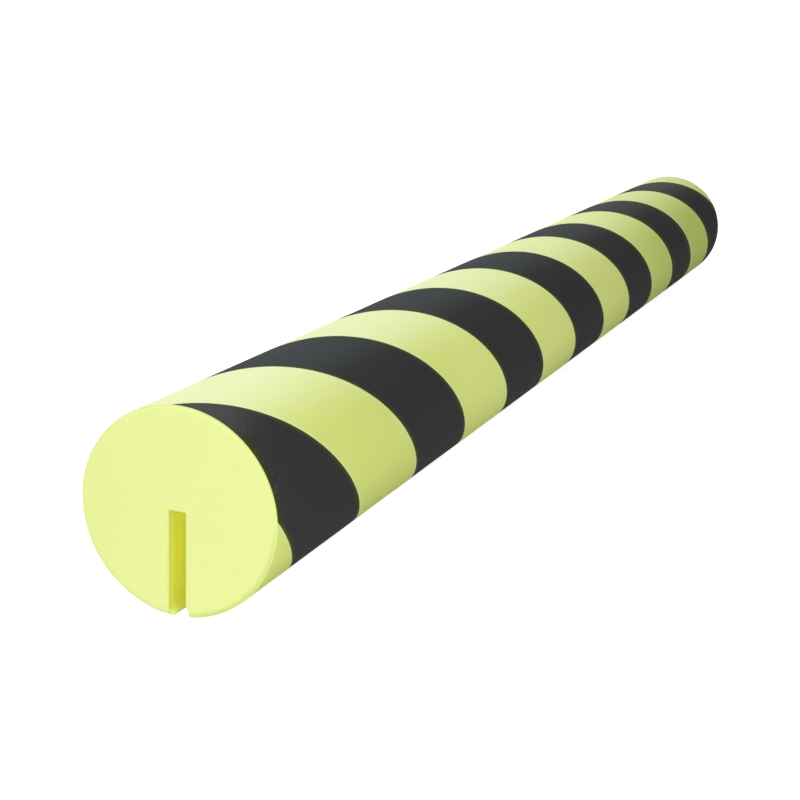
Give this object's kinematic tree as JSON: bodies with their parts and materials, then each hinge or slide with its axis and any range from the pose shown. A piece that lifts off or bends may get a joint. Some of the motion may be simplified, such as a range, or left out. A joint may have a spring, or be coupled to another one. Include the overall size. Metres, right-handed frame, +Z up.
{
  "type": "foam impact protector",
  "caption": "Round soft foam guard with a lengthwise slot that pushes onto a panel edge, and helical black and yellow warning stripes.",
  "frame": {"origin": "centre of the bounding box's bottom: on the table, under the middle of the length and under the axis of the round body", "axes": "+Y along the guard from the near end to the far end, +Z up from the table, +X to the right seen from the near end. The guard lies on both lips of its slot, so the slot opens downwards and its middle plane leans 2.73 degrees from -Z towards -X"},
  "size_m": [0.04, 0.4, 0.0399],
  "materials": {
    "foam_body": "matte skin of luminous yellow foam with satin black stripes printed on it; cut ends and slot are bare foam"
  },
  "bodies": {
    "root": {"foam_body": "foam_body"}
  },
  "joints": []
}
